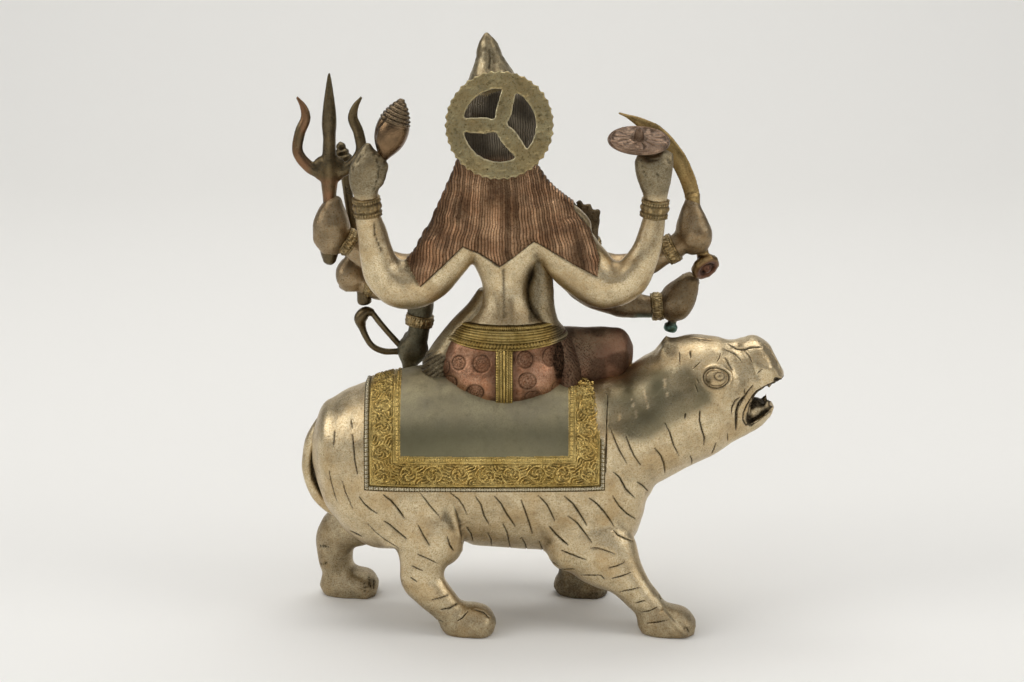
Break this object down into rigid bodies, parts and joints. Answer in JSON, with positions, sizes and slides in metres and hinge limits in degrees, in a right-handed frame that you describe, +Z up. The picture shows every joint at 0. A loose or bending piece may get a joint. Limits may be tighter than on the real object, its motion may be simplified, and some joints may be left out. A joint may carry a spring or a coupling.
{
  "type": "durga figure",
  "caption": "Cast metal statuette of a many-armed goddess seated sideways on a standing tiger, with a spoked halo behind her head and emblems in her hands.",
  "frame": {"origin": "middle of the bounding box's underside, on the surface that the paws stand on", "axes": "+Z up, +X towards the tiger's head, +Y the way the goddess faces"},
  "size_m": [0.2054, 0.086, 0.2481],
  "materials": {
    "white_bronze": "satin, nickel-toned bronze with dark patina in the recesses",
    "copper": "satin copper with brown patina",
    "dark_bronze": "dark patinated bronze",
    "yellow_brass": "satin brass with dark patina in the recesses"
  },
  "bodies": {
    "root": {"tiger": "white_bronze", "goddess": "white_bronze", "halo_wheel": "dark_bronze", "trident": "dark_bronze", "conch": "copper", "mace": "dark_bronze", "bow": "dark_bronze", "sword": "yellow_brass", "discus": "dark_bronze", "lotus": "dark_bronze"}
  },
  "joints": []
}
